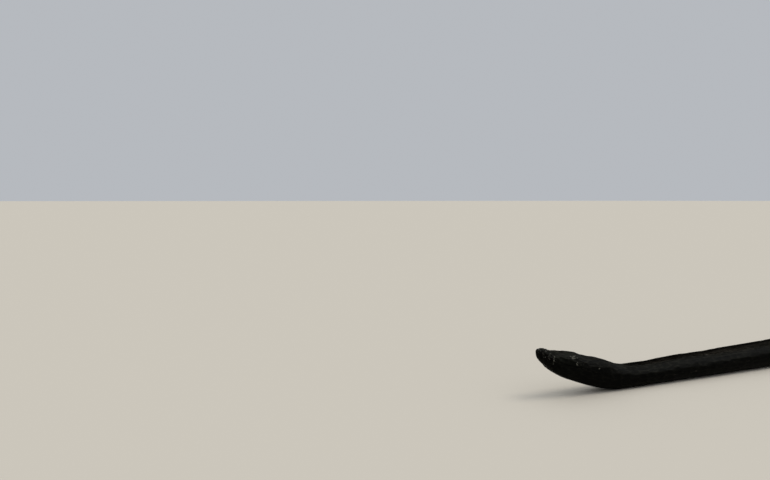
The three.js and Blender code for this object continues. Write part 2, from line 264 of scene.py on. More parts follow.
def cut_away(piece, cutters):
    """Cuts the closed bodies `cutters` out of `piece`, and leaves no modifier behind."""
    keys = [layer.name for layer in piece.data.attributes if layer.data_type == "FLOAT"]
    paint(piece.data, "known", np.ones(len(piece.data.vertices)))
    collection = bpy.data.collections.new(f"{piece.name}_cutters")
    for body in cutters:
        collection.objects.link(body)
    modifier = piece.modifiers.new("cut", "BOOLEAN")
    modifier.operation = "DIFFERENCE"
    modifier.operand_type = "COLLECTION"
    modifier.collection = collection
    modifier.solver = "MANIFOLD"
    evaluated = piece.evaluated_get(bpy.context.evaluated_depsgraph_get())
    mesh = bpy.data.meshes.new_from_object(evaluated)
    mesh.materials.clear()  # the cut leaves an empty slot, and all faces would use it
    mesh.set_sharp_from_angle(angle=SHARP)
    mend_rims(mesh, keys)
    old = piece.data
    piece.modifiers.clear()
    piece.data = mesh
    for spare in (old, *[body.data for body in cutters]):
        bpy.data.meshes.remove(spare)
    bpy.data.collections.remove(collection)


def mend_rims(mesh, keys):
    """The new points on the rims of the cuts take what the surface round them has."""
    known = painted(mesh, "known") > 0.5
    edges = np.empty(len(mesh.edges) * 2, np.int32)
    mesh.edges.foreach_get("vertices", edges)
    edges = edges.reshape(-1, 2)
    edges = np.concatenate([edges, edges[:, ::-1]])
    edges = edges[~known[edges[:, 0]] & known[edges[:, 1]]]
    count = np.bincount(edges[:, 0], minlength=len(known))
    for key in keys:
        values = painted(mesh, key)
        total = np.bincount(edges[:, 0], values[edges[:, 1]], len(known))
        paint(mesh, key, np.where(count > 0, total / np.maximum(count, 1), values))
    mesh.attributes.remove(mesh.attributes["known"])


def dress(piece, material, slot, *nodes):
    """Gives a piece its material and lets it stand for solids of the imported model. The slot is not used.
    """
    piece.data.materials.append(material)
    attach(piece, "root")
    if nodes:
        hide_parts(*nodes)


def centre(node):
    low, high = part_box(node)
    return (low + high) / 2


def lengthwise(node, axis):
    """Middle points of the two ends of a pole that runs along an axis of the frame."""
    low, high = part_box(node)
    start, end = centre(node), centre(node)
    start[axis], end[axis] = low[axis], high[axis]
    return start, end


# Materials. Colours are red, green and blue in linear light, and stretches are cells to a metre each way

class Graph:
    """The nodes of a material or of the world. Most calls add some and give the last one's socket."""

    def __init__(self, owner):
        self.owner = owner
        owner.use_nodes = True
        self.tree = owner.node_tree
        self.tree.nodes.clear()

    def feed(self, socket, value):
        if isinstance(value, bpy.types.NodeSocket):
            self.tree.links.new(value, socket)
        elif socket.type == "RGBA":
            socket.default_value = (*value, 1)
        else:
            socket.default_value = value

    def add(self, kind, inputs=None, output=0, **settings):
        node = self.tree.nodes.new(f"ShaderNode{kind}")
        for key, value in settings.items():
            setattr(node, key, value)
        for key, value in (inputs or {}).items():
            self.feed(node.inputs[key], value)
        return node.outputs[output]

    def show(self, kind, shader):
        """Ends the graph with its output and gives its owner."""
        out = self.tree.nodes.new(f"ShaderNodeOutput{kind}")
        self.tree.links.new(shader, out.inputs["Surface"])
        return self.owner

    def finish(self, **inputs):
        """The material, with the inputs of its shader under their own names."""
        named = {key.replace("_", " "): value for key, value in inputs.items()}
        return self.show("Material", self.add("BsdfPrincipled", named))

    def kept(self, key, vector=False):
        """What paint() kept for each vertex."""
        return self.add("Attribute", output="Vector" if vector else "Fac", attribute_name=key)

    def noise(self, vector, stretch, detail=4.0, roughness=0.55):
        """Noise from 0 to 1, mostly near 0.5."""
        mapped = self.add("Mapping", {"Vector": vector, "Scale": stretch})
        inputs = {"Vector": mapped, "Scale": 1.0, "Detail": detail, "Roughness": roughness}
        return self.add("TexNoise", inputs)

    def grain(self, *stretches, roughness=0.6):
        """Where a point is in the wood, and its streaks, its fine fibres and its blotches."""
        at = self.kept("wood", vector=True)
        looks = zip(stretches, ((6, roughness), (3,), (5,)))
        return at, *(self.noise(at, stretch, *look) for stretch, look in looks)

    def fade(self, value, low, high, to_low=0.0, to_high=1.0):
        """A smooth step from one number to another as `value` goes from `low` to `high`."""
        inputs = {"Value": value, "From Min": low, "From Max": high, "To Min": to_low, "To Max": to_high}
        return self.add("MapRange", inputs, interpolation_type="SMOOTHSTEP")

    def calc(self, operation, a, b=0.0):
        return self.add("Math", {0: a, 1: b}, operation=operation)

    def times(self, a, b):
        return self.calc("MULTIPLY", a, b)

    def larger(self, a, b):
        return self.calc("MAXIMUM", a, b)

    def blend(self, share, a, b):
        return self.add("Mix", {0: share, 6: a, 7: b}, output=2, data_type="RGBA")

    def coated(self, color, *coats):
        """A colour with others laid over it in turn, each with its share."""
        for share, coat in coats:
            color = self.blend(share, color, coat)
        return color

    def bump(self, height, distance, strength, below=None):
        inputs = {"Height": height, "Distance": distance, "Strength": strength}
        return self.add("Bump", inputs if below is None else {**inputs, "Normal": below})

    def hairlines(self, vector, stretch, width):
        """1 on thin drying cracks that run along the grain."""
        wander = self.noise(vector, stretch, 3)
        line = self.fade(self.calc("ABSOLUTE", self.calc("SUBTRACT", wander, 0.5)), width, 0.3 * width)
        broken = self.noise(vector, [0.5 * value for value in stretch], 2)
        return self.times(line, self.fade(broken, 0.47, 0.56))

    def edges(self):
        """1 on corners that stand out."""
        return self.fade(self.add("NewGeometry", output="Pointiness"), 0.51, 0.56)

    def grooves(self):
        """1 in narrow places."""
        return self.fade(self.add("NewGeometry", output="Pointiness"), 0.49, 0.44)

    def facing_up(self, low, high):
        normal = self.add("NewGeometry", output="Normal")
        return self.fade(self.add("SeparateXYZ", {"Vector": normal}, output="Z"), low, high)


def hull_material():
    """Wood gone near black: greyer on top, partly weathered and partly painted sky light; blackest
    underneath and in narrow places and cracks, which is painted shade; browner inside, with pale patches,
    and rubbed lighter where it is worn.
    """
    g = Graph(bpy.data.materials.new("blackened_wood"))
    at, streaks, fine, blotches = g.grain((3.5, 75, 75), (16, 420, 420), (2.4, 6, 6))
    small = g.noise(at, (16, 34, 34), 4)
    top, under = g.facing_up(0.45, 0.9), g.facing_up(0.52, 0.16)
    # Greyer where the hull faces the sky, in blotches and streaks: partly weathering and partly painted sky
    # light.
    skyward = g.times(g.facing_up(0.35, 0.88), g.fade(blotches, 0.34, 0.6, 0.2, 1.0))
    skyward = g.times(skyward, g.fade(streaks, 0.32, 0.62, 0.2, 0.85))
    # Greenish, lighter patches near the bow.
    greenish_patches = g.times(g.fade(small, 0.40, 0.62), g.fade(g.kept("front"), 0, 1, 0.1, 0.85))
    # Fewer light fibres where the hull faces down, as part of the painted shade there.
    fibres = g.times(g.fade(fine, 0.57, 0.68, 0.0, 0.6), g.fade(under, 0, 1, 1.0, 0.3))
    ridges = g.times(g.kept("ridge"), g.fade(streaks, 0.40, 0.60, 0.15, 0.9))
    # Dark spots on the rough tip.
    dark_spots = g.times(g.fade(g.noise(at, (60, 85, 85), 4, 0.65), 0.50, 0.43), g.kept("head"))
    worn = g.times(g.larger(g.edges(), g.kept("worn")), g.fade(small, 0.42, 0.64))
    specks = g.calc("ADD", g.noise(at, (48, 70, 70), 3, 0.6), g.times(g.kept("pale_marks"), 0.55))
    pale_marks = g.times(g.fade(specks, 0.75, 0.82), g.fade(g.kept("pale_marks"), 0.02, 0.10))
    # Painted shade in narrow places, with dark hairline cracks along the grain.
    dark = g.times(g.larger(g.grooves(), g.hairlines(at, (1.6, 110, 110), 0.012)), 0.85)
    black = (0.0010, 0.0010, 0.0008)
    inner = g.coated(
        g.blend(g.fade(streaks, 0.35, 0.65), (0.031, 0.027, 0.021), (0.094, 0.082, 0.065)),
        (g.fade(blotches, 0.42, 0.62), (0.040, 0.038, 0.030)),
        (ridges, (0.130, 0.114, 0.090)),
    )
    rubbed = g.blend(g.fade(fine, 0.4, 0.6), (0.010, 0.0085, 0.0070), (0.046, 0.038, 0.030))
    color = g.coated(
        g.blend(g.fade(streaks, 0.35, 0.68), black, (0.0046, 0.0044, 0.0032)),
        # Partly weathering and partly painted sky light: greyer where the hull faces up.
        (skyward, (0.0078, 0.0077, 0.0056)),
        # Greenish, lighter patches near the bow.
        (greenish_patches, (0.0098, 0.0110, 0.0072)),
        # Painted shade: where the hull faces down it is darkened towards black, and its ridges show less.
        (g.times(under, 0.8), black),
        (fibres, (0.0150, 0.0140, 0.0110)),
        (g.times(ridges, g.fade(under, 0, 1, 0.9, 0.28)), (0.0175, 0.0165, 0.0128)),
        # Dark spots on the rough tip.
        (dark_spots, black),
        (g.kept("inside"), inner),
        (g.times(worn, 0.75), rubbed),
        # Pale specks and patches, lighter where the fibres run.
        (pale_marks, g.blend(fine, (0.034, 0.033, 0.026), (0.135, 0.130, 0.108))),
        # Painted shade: narrow places and the walls of the cracks go black, darkest towards their bottoms.
        (g.larger(dark, g.kept("cut")), black),
    )
    return g.finish(
        Base_Color=color,
        Roughness=g.larger(g.fade(streaks, 0.3, 0.7, 0.38, 0.60), g.times(top, 0.8)),
        Specular_IOR_Level=g.times(g.fade(under, 0, 1, 0.05, 0.015), g.fade(top, 0, 1, 1.0, 0.4)),
        Normal=g.bump(streaks, 0.004, 0.5, g.bump(fine, 0.0009, 0.6)),
    )


# Poles and planks. Columns: dark and light streaks, where the wood faces the sky, how much bark is left
TIMBERS = {
    "weathered_pole": ((0.10, 0.074, 0.052), (0.28, 0.225, 0.165), (0.33, 0.30, 0.26), 0.75),
    "split_peg": ((0.14, 0.096, 0.058), (0.38, 0.285, 0.19), (0.36, 0.32, 0.265), 0),
    "sooty_stick": ((0.018, 0.014, 0.010), (0.058, 0.046, 0.033), (0.064, 0.058, 0.048), 0),
    "hewn_plank": ((0.085, 0.060, 0.040), (0.25, 0.19, 0.13), (0.29, 0.26, 0.215), 0),
}


def timber_material(name):
    """Streaked along the grain, grey where it faces the sky, with pale cut ends."""
    dark, light, weathered, bark = TIMBERS[name]
    g = Graph(bpy.data.materials.new(name))
    at, streaks, fine, blotches = g.grain((6, 90, 90), (24, 600, 600), (5, 9, 9))
    skyward = g.times(g.facing_up(-0.3, 0.8), g.fade(blotches, 0.35, 0.6, 0.2, 0.9))
    patches = g.fade(g.noise(at, (9, 22, 22), 6, 0.65), 0.56, 0.60)
    radius = g.add("VectorMath", {0: at, 1: (0, 1, 1)}, operation="MULTIPLY")
    radius = g.add("VectorMath", {0: radius}, output="Value", operation="LENGTH")
    rings = g.calc("SINE", g.calc("ADD", g.times(radius, 2600), g.times(blotches, 9)))
    # Painted shade in narrow places, with dark hairline cracks along the grain.
    lines = g.larger(g.grooves(), g.hairlines(at, (3, 150, 150), 0.014))
    color = g.coated(
        g.blend(g.fade(streaks, 0.35, 0.68), dark, light),
        (skyward, weathered),
        (g.times(patches, bark), (0.050, 0.034, 0.022)),
        (g.fade(fine, 0.56, 0.72, 0.0, 0.75), shade(dark, 0.35)),
        (g.kept("knot"), (0.032, 0.020, 0.012)),
        (g.kept("end"), g.blend(g.fade(rings, -1, 1, 0.25, 0.75), weathered, shade(light, 0.4))),
        # Painted shade in narrow places, and dark hairline cracks.
        (g.times(lines, 0.75), shade(dark, 0.2)),
    )
    return g.finish(
        Base_Color=color,
        Roughness=g.fade(streaks, 0.3, 0.7, 0.68, 0.86),
        Specular_IOR_Level=0.3,
        Normal=g.bump(streaks, 0.003, 0.6, g.bump(fine, 0.0008, 0.7)),
    )


def shade(color, share):
    return tuple(share * value for value in color)


def float_material():
    """A bleached log, darker low down where it gets wet."""
    g = Graph(bpy.data.materials.new("weathered_float"))
    stretches = (3, 60, 60), (14, 480, 480), (3, 9, 9)
    at, streaks, fine, blotches = g.grain(*stretches, roughness=0.62)
    skyward = g.times(g.facing_up(-0.2, 0.8), g.fade(blotches, 0.3, 0.6, 0.3, 0.95))
    height = g.add("SeparateXYZ", {"Vector": at}, output="Z")
    wet = g.fade(g.calc("ADD", height, g.times(blotches, 0.03)), 0.08, 0.04)
    # Painted shade in narrow places, with dark hairline cracks along the grain.
    dark = g.times(g.larger(g.grooves(), g.hairlines(at, (1.4, 90, 90), 0.014)), 0.8)
    color = g.coated(
        g.blend(g.fade(streaks, 0.35, 0.68), (0.075, 0.058, 0.042), (0.21, 0.175, 0.135)),
        (skyward, (0.265, 0.248, 0.218)),
        (g.times(wet, 0.75), (0.050, 0.045, 0.034)),
        (g.fade(fine, 0.55, 0.7, 0.0, 0.7), (0.045, 0.036, 0.028)),
        # Painted shade: narrow places and the walls of the cracks and peg sockets go near black, darkest
        # deepest in.
        (g.larger(dark, g.kept("cut")), (0.014, 0.010, 0.007)),
    )
    return g.finish(
        Base_Color=color,
        Roughness=g.fade(streaks, 0.3, 0.7, 0.7, 0.88),
        Specular_IOR_Level=0.25,
        Normal=g.bump(streaks, 0.004, 0.6, g.bump(fine, 0.0009, 0.7)),
    )


def cord_material():
    """Twisted plant fibre, with painted shade between the strands."""
    g = Graph(bpy.data.materials.new("plant_fibre_cord"))
    at = g.kept("wood", vector=True)
    fibres = g.noise(at, (55, 900, 900), 4, 0.6)
    along = g.noise(at, (9, 30, 30), 4)
    color = g.coated(
        g.blend(g.fade(fibres, 0.32, 0.7), (0.11, 0.072, 0.041), (0.38, 0.275, 0.175)),
        (g.fade(along, 0.35, 0.68, 0.0, 0.75), (0.26, 0.225, 0.18)),
        # Painted shade in the grooves between the strands.
        (g.times(g.kept("groove"), 0.8), (0.022, 0.014, 0.008)),
    )
    bump = g.bump(fibres, 0.0008, 0.8)
    return g.finish(Base_Color=color, Roughness=0.9, Specular_IOR_Level=0.2, Sheen_Weight=0.15, Normal=bump)


# Hull

TIP = 4.0  # half the hull's length
STERN_RISE = 0.86  # the stern's rise as a share of the bow's
KEEL_FLAT = 24 * MM
WALL = 34 * MM
FLOOR = 46 * MM
LIP_WIDTH = 24 * MM
WIDEST_AT = 0.47  # share of the depth, up from the keel
FULLNESS = 2.3  # the power of the curve under the widest point, 2 for an ellipse
GROOVE_FROM, HOLLOW_FROM, HOLLOW_FULL = 0.450, 1.010, 1.340  # aft of a tip

# Columns, in millimetres: aft of the bow's tip, keel, sheer, half breadth, half width of the top
BOW_ROWS = MM * np.array([
    [0, 428, 468, 27, 13],
    [16, 386, 477, 42, 22],
    [62, 338, 477, 58, 30],
    [150, 264, 463, 75, 38],
    [270, 194, 438, 89, 44],
    [380, 147, 420, 98, 47],
    [560, 84, 361, 109, 50],
    [760, 26, 303, 118, 54],
    [880, 6, 268, 122, 58],
    [980, 0, 244, 125, 62],
    [1090, 0, 233, 128, 66],
    [1340, 0, 231, 134, 72],
    [1800, 0, 234, 143, 82],
    [2500, 0, 244, 156, 102],
    [3200, 0, 252, 163, 114],
    [4000, 0, 256, 167, 120],
])

# Where the hull is cut into sections. Columns: from and to, in metres aft of a tip, and the step between
SPANS = ((0, 0.26, 0.007), (0.26, 1.40, 0.014), (1.40, TIP, 0.019))

OUTER, LIP, INNER = 44, 5, 29  # steps round half a section: up the outside, over the gunwale, down inside

# Tool marks and wear: length and width of an adze mark, and the depth or height of each kind
HULL_MARKS, HOLLOW_MARKS = (0.115, 0.048), (0.100, 0.050)
ADZE_MARK, TIP_PIT, LIP_CHIP, LIP_WAVE = 4.5 * MM, 6 * MM, 3 * MM, 7 * MM

# How uneven the top is along each snout and the bow's gunwales. Columns: aft of a tip, millimetres up
TOP_STEPS = [
    (0.06, 0), (0.12, -16), (0.20, -15), (0.30, -7), (0.50, -9), (0.60, -2),
    (0.72, 10), (0.84, 5), (0.95, -9), (1.10, -18), (1.38, -23), (1.65, -10),
    (1.90, -6), (2.25, -15), (2.50, -9), (3.10, -6), (3.45, 0),
]

# Pale patches on the bow's port side. Columns: aft of the tip, height, half length, half height, how pale
PALE_MARK_ROWS = [
    (0.360, 0.388, 0.070, 0.018, 0.60),
    (0.385, 0.318, 0.024, 0.034, 0.40),
    (0.450, 0.300, 0.034, 0.018, 0.34),
    (0.650, 0.245, 0.032, 0.014, 0.36),
]

# Cracks. Columns: aft of a tip where each starts and ends, bow or stern (1 or -1), share of the way round
# from the keel to the gunwale, side (1 port, -1 starboard), half width and depth in millimetres
CRACK_ROWS = [
    (0.01, 0.62, 1, 0.62, 1, 2.2, 16),
    (0.02, 0.40, 1, 0.86, -1, 2.0, 14),
    (0.05, 0.78, 1, 0.45, -1, 2.2, 15),
    (0.30, 0.86, 1, 0.80, 1, 1.5, 12),
    (1.25, 1.90, 1, 0.55, 1, 1.4, 10),
    (1.70, 2.50, 1, 0.74, -1, 1.5, 11),
    (2.45, 3.30, 1, 0.66, 1, 1.6, 12),
    (0.01, 0.70, -1, 0.58, 1, 2.2, 16),
    (0.03, 0.45, -1, 0.83, -1, 2.0, 14),
    (0.35, 0.95, -1, 0.40, -1, 1.6, 12),
    (1.30, 2.10, -1, 0.70, 1, 1.6, 12),
    (2.30, 3.05, -1, 0.60, -1, 1.5, 10),
]


def column(rows, index):
    """A smooth curve through a table's column, with no overshoot between its rows."""
    xs, ys = rows[:, 0], rows[:, index]
    slopes = np.diff(ys) / np.diff(xs)
    before = np.concatenate([slopes[:1], slopes])
    after = np.concatenate([slopes, slopes[-1:]])
    both = before * after
    tangents = np.where(both > 0, 2 * both / np.where(both > 0, before + after, 1), 0)

    def curve(x):
        i = np.clip(np.searchsorted(xs, x) - 1, 0, len(xs) - 2)
        step = xs[i + 1] - xs[i]
        t = (x - xs[i]) / step
        rise = (1 + 2 * t) * (1 - t) ** 2 * ys[i] + t * t * (3 - 2 * t) * ys[i + 1]
        return rise + step * (t * (1 - t) ** 2 * tangents[i] + t * t * (t - 1) * tangents[i + 1])

    return curve


def station(x):
    """The hull's measures at places along its length."""
    aft = np.clip(TIP - np.abs(x), 0, TIP)
    rise = np.where(x < 0, STERN_RISE, 1)
    keel, sheer, half, lip = (column(BOW_ROWS, index)(aft) for index in (1, 2, 3, 4))
    mid_sheer = BOW_ROWS[-1, 2]
    sheer = mid_sheer + (sheer - mid_sheer) * rise
    keel = keel * rise
    slot = lip - np.minimum(LIP_WIDTH, 0.3 * lip)
    widest = keel + (sheer - keel) * WIDEST_AT
    dip, depth = ramp(aft, GROOVE_FROM, HOLLOW_FROM), ramp(aft, HOLLOW_FROM, HOLLOW_FULL)
    names = "aft, keel, sheer, half, lip, slot, widest, dip, depth"
    return np.rec.fromarrays([aft, keel, sheer, half, lip, slot, widest, dip, depth], names=names)


def bilge(half, flat, bottom, widest, steps):
    """Quarter of a superellipse from the bottom up to the widest point, as (y, z)."""
    out = np.sin(steps * math.pi / 2) ** (2 / FULLNESS)
    down = np.cos(steps * math.pi / 2) ** (2 / FULLNESS)
    return np.stack([flat + (half - flat) * out, widest - (widest - bottom) * down], axis=1)


def topside(half, lip, widest, top, steps):
    """Arc from the widest point up to a given half width at the top, as (y, z)."""
    last = math.acos(lip / half)
    rise = (top - widest) * np.sin(steps * last) / math.sin(last)
    return np.stack([half * np.cos(steps * last), widest + rise], axis=1)


def half_section(s):
    """Keel to gunwale to the bottom of the hollow, as (y, z), in OUTER + LIP + INNER steps."""
    steps = np.linspace(0, 1, 40)
    low = bilge(s.half, KEEL_FLAT * min(1, s.half / 0.1), s.keel, s.widest, steps)
    high = topside(s.half, s.lip, s.widest, s.sheer, steps[1:])
    outer = resampled(np.concatenate([[[0, s.keel]], low, high]), OUTER + 1)
    lip = np.linspace((s.lip, s.sheer), (s.slot, s.sheer), LIP + 1)
    room = max(s.half - WALL, s.slot + MM)
    wall = topside(room, s.slot, s.widest, s.sheer, steps[::-1])
    floor = bilge(room, 0, s.keel + FLOOR, s.widest, steps[::-1][1:])
    hollow = resampled(np.concatenate([wall, floor]), INNER + 1)
    across = np.linspace(1, 0, INNER + 1)
    arch = 0.3 * s.slot * (1 - 2 * s.dip)
    deck = np.stack([s.slot * across, s.sheer + arch * (1 - across**2)], axis=1)
    return np.concatenate([outer, lip[1:], (deck + (hollow - deck) * s.depth)[1:]])


def hull_rings():
    """Sections of the hull before it is hewn, closest together at the tips, and their measures."""
    aft = np.concatenate([np.arange(*span) for span in SPANS])
    xs = np.concatenate([TIP - aft, [0], (aft - TIP)[::-1]])
    measures = station(xs)
    sections = np.array([half_section(measure) for measure in measures])
    edge = slice(OUTER - 2, OUTER + LIP + 3)
    for _ in range(4):
        nearby = (sections[:, edge.start - 1:edge.stop - 1] + sections[:, edge.start + 1:edge.stop + 1]) / 2
        sections[:, edge] = (sections[:, edge] + nearby) / 2
    whole = np.concatenate([sections, (sections * (-1, 1))[:, -2:0:-1]], axis=1)
    rings = np.concatenate([np.broadcast_to(xs[:, None, None], whole.shape[:2] + (1,)), whole], axis=2)
    return rings, measures


def hull_zones(rings, measures):
    """For each point: girth from the keel in metres, how far inside the hollow, how near the lip."""
    half = OUTER + LIP + INNER
    steps = np.linalg.norm(np.diff(rings[:, :half + 1, 1:], axis=1), axis=-1)
    girth = np.concatenate([np.zeros((len(rings), 1)), np.cumsum(steps, axis=1)], axis=1)
    girth = np.concatenate([girth, -girth[:, -2:0:-1]], axis=1)
    place = np.concatenate([np.arange(half + 1), np.arange(half - 1, 0, -1)])
    inside = ramp(place, OUTER + LIP - 1, OUTER + LIP + 5) * measures.depth[:, None]
    lip = 1 - np.clip(np.abs(place - (OUTER + LIP / 2)) / 6, 0, 1)
    return girth, inside, lip + 0 * girth


def hewn(rings, measures):
    """The hull as an adze leaves it and use wears it, and what its points keep for the material."""
    girth, inside, lip = hull_zones(rings, measures)
    x, z = rings[..., 0], rings[..., 2]
    side = 3 * np.sign(rings[..., 1])
    aft = measures.aft[:, None] + 0 * girth
    height = (z - measures.keel[:, None]) / (measures.sheer - measures.keel)[:, None]
    head = 1 - ramp(aft + 0.03 * noise(rings * 20, 3), 0.13, 0.22)
    uneven = 0.65 + 0.5 * noise(rings * (1.1, 4, 4), 5)
    outside, within = dishes(x, girth, HULL_MARKS, 11), dishes(x, girth, HOLLOW_MARKS, 23)
    marks, ridges = (np.where(inside > 0.5, *pair) for pair in zip(within, outside))

    def along_edges(cells, seed):
        """Noise along the gunwales, unlike on the two sides."""
        return noise(np.stack([x * cells, side, 0 * x], axis=-1), seed)

    depth = ADZE_MARK * (marks - 0.4) * uneven * (1 - 0.75 * lip)
    depth += lumps(rings, (2.6, (1.7, 4.5, 4.5), 7), (0.6, (14, 55, 55), 9))
    depth += head * lumps(rings, (2.6, 24, 31), (1.4, 70, 33))
    depth -= head * TIP_PIT * ramp(noise(rings * (34, 50, 50), 35), 0.18, 0.5)
    depth -= lip * LIP_CHIP * ramp(along_edges(9, 41), 0.35, 0.6)
    shaped = moved_out(rings, depth)
    shaped[..., 2] += LIP_WAVE * np.maximum(along_edges(1.9, 43), 0) * lip * measures.depth[:, None]
    steps = MM * np.interp(aft, *zip(*TOP_STEPS)) * np.where(x < 0, 1 - ramp(aft, 0.85, 1.1), 1)
    shaped[..., 2] += steps * ramp(height, 0.5, 0.95)
    # Pale specks on the upper part of the tip, and the pale patches listed above.
    pale_marks = 0.34 * head * ramp(height, 0.10, 0.5)
    for place, level, length, tall, amount in PALE_MARK_ROWS:
        away = ((aft - place) / length) ** 2 + ((z - level) / tall) ** 2
        pale_marks = np.maximum(pale_marks, amount * np.exp(-away) * (side > 0) * (x > 0))
    return shaped, {
        "inside": inside * ramp(height, 1.35, 0.75),
        "worn": lip * np.clip(0.3 + 0.6 * noise(rings * (3, 9, 9), 71), 0, 1),
        "pale_marks": pale_marks,
        "head": head,
        "front": 1 - ramp(aft, 0.30, 0.60),
        "ridge": ridges * uneven,
        "cut": 0 * girth,
    }


def blunt_end(ring, way, seed):
    """Rings that close a log's tip with a rough, slightly crowned face."""
    middle = ring.mean(axis=0)
    rings = []
    for share in (0.93, 0.78, 0.58, 0.36, 0.15):
        closer = middle + (ring - middle) * share
        crown = 5 * MM * (1 - share**2) + 1.8 * MM * noise(closer * 70, seed)
        rings.append(closer + crown[:, None] * (way, 0, 0))
    return np.array(rings)


def crack(rings, start, end, place, width, depth, seed):
    """A wedge along the surface from one row of the rings to another, near their point `place`."""
    count = max(8, int(abs(rings[end, 0, 0] - rings[start, 0, 0]) / 0.016))
    rows = np.linspace(start, end, count)
    wander = place + 1.5 * noise_along(rows * 0.06, seed) + 0.35 * noise_along(rows * 0.5, seed + 1)
    row, around = np.minimum(rows.astype(int), len(rings) - 2), wander.astype(int)
    part_row, part_around = (rows - row)[:, None], (wander - around)[:, None]

    def on_row(grid, k):
        return grid[k, around] + (grid[k, around + 1] - grid[k, around]) * part_around

    def at(grid):
        near, far = on_row(grid, row), on_row(grid, row + 1)
        return near + (far - near) * part_row

    point, normal = at(rings), at(outward(rings))
    side = np.cross(normal, (1, 0, 0))
    taper = np.sin(np.linspace(0, math.pi, count))[:, None] ** 0.6
    wide = width * side * (0.12 + taper * (0.85 + 0.4 * noise_along(rows * 0.3, seed + 2)[:, None]))
    top, bottom = point + normal * 6 * MM, point - normal * depth * (0.3 + 0.7 * taper)
    return cutter(np.stack([top + 1.5 * wide, top - 1.5 * wide, bottom], axis=1))


def nearest(values, *wanted):
    """Which places in a list are nearest to the wanted values, in order along it."""
    return sorted(int(np.argmin(np.abs(values - value))) for value in wanted)


def hull_cracks(rings):
    cracks = []
    for number, (start, end, way, share, side, width, depth) in enumerate(CRACK_ROWS):
        rows = nearest(rings[:, 0, 0], way * (TIP - start), way * (TIP - end))
        place = share * OUTER if side > 0 else rings.shape[1] - share * OUTER
        cracks.append(crack(rings, *rows, place, width * MM, depth * MM, 50 + 3 * number))
    return cracks


ASIDE = 0.3  # a place clear of the hull to either side, for what is cut right across it


def hull_openings():
    """What is cut out of the hull for the booms, the key bars, the seats, their ties and the spreaders."""
    cutters = []
    for place in ("fore", "aft"):
        ways = (f"boom_{place}", boom_radius(0) - MM), (f"key_bar_{place}", KEY_RADIUS + MM)
        for node, radius in ways:
            axis = centre(node)
            ends = [(axis.x, side * ASIDE, axis.z) for side in (-1, 1)]
            cutters.append(rod_cutter(*ends, radius))
    for number in (1, 2):
        low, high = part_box(f"seat_{number}")
        bed = (low.x - MM, -ASIDE, low.z - 0.3 * MM), (high.x + MM, ASIDE, low.z + 0.1)
        low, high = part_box(f"seat_tie_{number}_port")
        way = (low.x - MM, -ASIDE, low.z - MM), (high.x + MM, ASIDE, low.z + 8 * MM)
        socket = rod_cutter(*lengthwise(f"spreader_{number}", 1), SPREADER_RADIUS + 0.6 * MM)
        cutters += [box_cutter(*bed), box_cutter(*way), socket]
    return cutters


def make_log(name, node, rings, kept, seeds, cutters, material):
    """A body hewn from one log, with rough ends and with the cutters cut out of it."""
    fore, aft = (blunt_end(rings[k], way, seed) for k, way, seed in zip((0, -1), (1, -1), seeds))
    points, faces = lofted(np.concatenate([fore[::-1], rings, aft]))
    rows = np.clip(np.arange(-len(fore), len(rings) + len(aft)), 0, len(rings) - 1)
    log = make_object(name, points, faces, {key: with_ends(kept[key][rows]) for key in kept})
    cut_away(log, cutters)
    paint(log.data, "wood", points_of(log.data))
    dress(log, material, f"{node}_wood", node)


def make_hull():
    rings, kept = hewn(*hull_rings())
    cutters = hull_cracks(rings) + hull_openings()
    make_log("hull_hewn", "hull", rings, kept, (61, 67), cutters, hull_material())


# Round timber

BOOM_RADII = (29 * MM, 21 * MM)
PEG_RADII = (11.5 * MM, 10.5 * MM)
DECK_RADII = (14 * MM, 12 * MM)
KEY_RADIUS = 14 * MM
SPREADER_RADIUS = 12 * MM
DECK_POLES = 6
GUNWALE_Y = 0.12
KEY_LASHING_Y = 0.19
FLOAT_Y = 1.5

MIDDLES = {}  # the middle line of each stick that is made


def middle_at(name, axis, value):
    """Where a stick's middle line is at a place along an axis of the frame."""
    line = MIDDLES[name]
    return np.array([np.interp(value, line[:, axis], values) for values in line.T])


def boom_radius(y):
    low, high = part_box("boom_fore")
    return float(np.interp(y, (low.y, high.y), BOOM_RADII))


def peg_ends(node):
    """Butt and top of a peg. The pegs of a pair lean opposite ways over the float."""
    points = points_of(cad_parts[node].data)
    low, high = points[:, 2].min(), points[:, 2].max()
    return points[points[:, 2] < low + 0.02].mean(axis=0), points[points[:, 2] > high - 0.02].mean(axis=0)


def deck_pole_ends(node):
    low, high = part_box(node)
    y = (low.y + high.y) / 2
    return np.array([low.x, y, low.z + DECK_RADII[0]]), np.array([high.x, y, high.z - DECK_RADII[1]])


def stick_radius(at, theta, length, radii, seed, knots, swell):
    """A stick's radius at the points of its grid, and 1 where each knot is."""
    grid = np.stack([at * 5 + 0 * theta, np.cos(theta) * 1.1, np.sin(theta) * 1.1], axis=-1)
    radius = np.interp(at, (0, length), radii)
    radius = radius * (1 + 0.04 * noise(grid, seed + 2) + 0.013 * noise(grid * (9, 3, 3), seed + 3))
    knot = 0 * theta
    for k in range(knots):
        place = length * (k + 0.2 + 0.6 * scatter(seed, np.array(k))) / knots
        turn = 2 * math.pi * scatter(seed + 5, np.array(k))
        around = np.angle(np.exp(1j * (theta - turn)))
        spot = np.exp(-(((at - place) / 0.011) ** 2) - (around / 0.38) ** 2)
        radius = radius * (1 + 0.12 * spot + 0.03 * np.exp(-(((at - place) / 0.022) ** 2)))
        knot = np.maximum(knot, spot)
    chamfer = 0.012 + 0.01 * noise_along(3 * theta, seed + 7)
    for far in (at, length - at):
        radius = radius * (0.84 + 0.16 * ramp(far / chamfer, 0, 1))
    return radius * (1 + swell * np.exp(-(((length - at) / 0.006) ** 2))), knot


